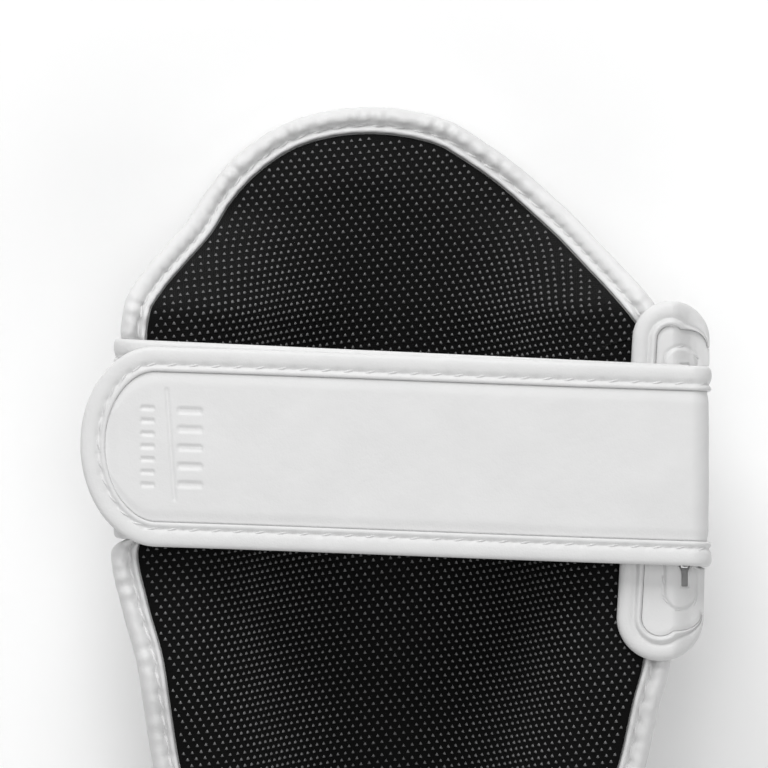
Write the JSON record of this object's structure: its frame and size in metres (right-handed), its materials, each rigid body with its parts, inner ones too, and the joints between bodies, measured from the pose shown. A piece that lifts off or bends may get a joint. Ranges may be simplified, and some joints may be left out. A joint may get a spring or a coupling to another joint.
{
  "type": "shin guard",
  "caption": "Padded shin guard with a gutter for the leg, black lining, rolled white rim and bound straps through slotted tabs.",
  "frame": {"origin": "under the middle of the guard's box, on the surface that its front rests on", "axes": "+X right as seen from the leg's side, +Y to the knee end, +Z from the front to the leg"},
  "size_m": [0.1574, 0.33, 0.0721],
  "materials": {
    "shell_leather": "smooth white leather over foam",
    "strap_leather": "smooth white leather",
    "edge_leather": "soft white leather, rolled and stitched",
    "lining_fabric": "matt black fabric with small raised grey pips",
    "hook_fabric": "black hook and loop"
  },
  "bodies": {
    "root": {"padded_shell": "shell_leather", "lining": "lining_fabric", "edge_binding": "edge_leather", "upper_strap": "strap_leather", "upper_strap_edge": "edge_leather", "upper_strap_fastener": "hook_fabric", "upper_tab": "strap_leather", "upper_tab_edge": "edge_leather", "lower_strap": "strap_leather", "lower_strap_edge": "edge_leather", "lower_strap_fastener": "hook_fabric", "lower_tab": "strap_leather", "lower_tab_edge": "edge_leather"}
  },
  "joints": []
}
